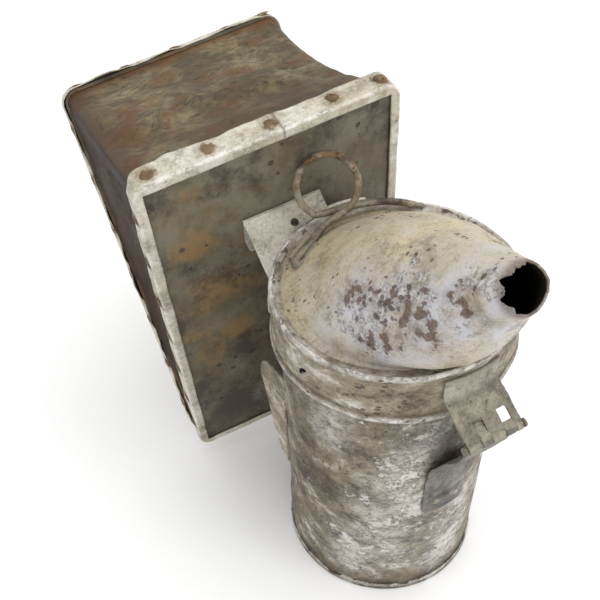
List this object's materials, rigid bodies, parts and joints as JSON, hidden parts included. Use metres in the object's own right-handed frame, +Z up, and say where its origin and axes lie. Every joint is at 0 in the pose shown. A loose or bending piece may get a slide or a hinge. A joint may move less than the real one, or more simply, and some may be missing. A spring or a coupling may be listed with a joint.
{
  "type": "bee smoker",
  "caption": "Old tin bee smoker: round fire pot with a front-hinged conical lid and spout, wire ring handle, and a wedge-shaped leather bellows behind.",
  "frame": {"origin": "centre of the fire pot's base, on the surface it stands on", "axes": "+Z up the pot's axis; -Y is the front, with the spout and the lid hinge; +Y points from the pot to the bellows; +X is across"},
  "size_m": [0.1412, 0.2764, 0.2495],
  "materials": {
    "pot_tin": "dull tin with flaking pale film and scratches",
    "sooty_iron": "sooty",
    "lid_tin": "dull tin with chalky patches and rust pits",
    "hinge_tin": "dull dark tin",
    "rusty_wire": "rusted iron wire",
    "solder": "dull solder",
    "bracket_tin": "pale dull tin",
    "board_wood": "weathered and stained",
    "edge_tin": "pale dull tin with rust halos",
    "rusty_nail": "rusted",
    "bellows_leather": "dry and cracked",
    "spring_steel": "dull spring steel"
  },
  "bodies": {
    "pot": {"fire_pot": "pot_tin", "pot_base_cup": "pot_tin", "pot_side_seam": "pot_tin", "pot_air_tube": "pot_tin", "fire_grate": "sooty_iron", "hinge_lower_leaf": "hinge_tin", "hinge_pin": "rusty_wire", "lower_leaf_rivets": "hinge_tin", "upper_bracket": "bracket_tin", "lower_bracket": "bracket_tin", "bracket_rivets": "bracket_tin", "bracket_screws": "bracket_tin", "front_board": "board_wood", "front_edge_strip": "edge_tin", "front_strip_nails": "rusty_nail", "board_nozzle": "edge_tin", "bellows_leather": "bellows_leather", "bellows_spring": "spring_steel"},
    "lid": {"lid_collar": "lid_tin", "lid_hood": "lid_tin", "spout_lip": "lid_tin", "ring_handle": "rusty_wire", "handle_lugs": "solder", "hinge_upper_leaf": "hinge_tin", "upper_leaf_rivets": "hinge_tin"},
    "back_board": {"back_board": "board_wood", "back_edge_strip": "edge_tin", "back_strip_nails": "rusty_nail", "intake_guard": "edge_tin", "intake_guard_tacks": "rusty_nail", "valve_keeper": "edge_tin"},
    "valve_flap": {"valve_flap": "bellows_leather"}
  },
  "joints": [
    {"name": "lid_hinge", "type": "hinge", "parent": "pot", "child": "lid", "pos_m": [0, -0.0705, 0.1575], "axis": [1, 0, 0], "range_deg": [0, 115]},
    {"name": "bellows_squeeze", "type": "hinge", "parent": "pot", "child": "back_board", "pos_m": [-0.00948, 0.08656, 0.02174], "axis": [0.9968, -0.0488, 0.0628], "range_deg": [0, 24], "stiffness_Nm_per_rad": 3, "springref_deg": -8.59, "deforming": ["bellows_leather", "bellows_spring"]},
    {"name": "valve_flap_lift", "type": "hinge", "parent": "back_board", "child": "valve_flap", "pos_m": [-0.01537, 0.17429, 0.18338], "axis": [-0.9968, 0.0488, -0.0628], "range_deg": [0, 20]}
  ]
}
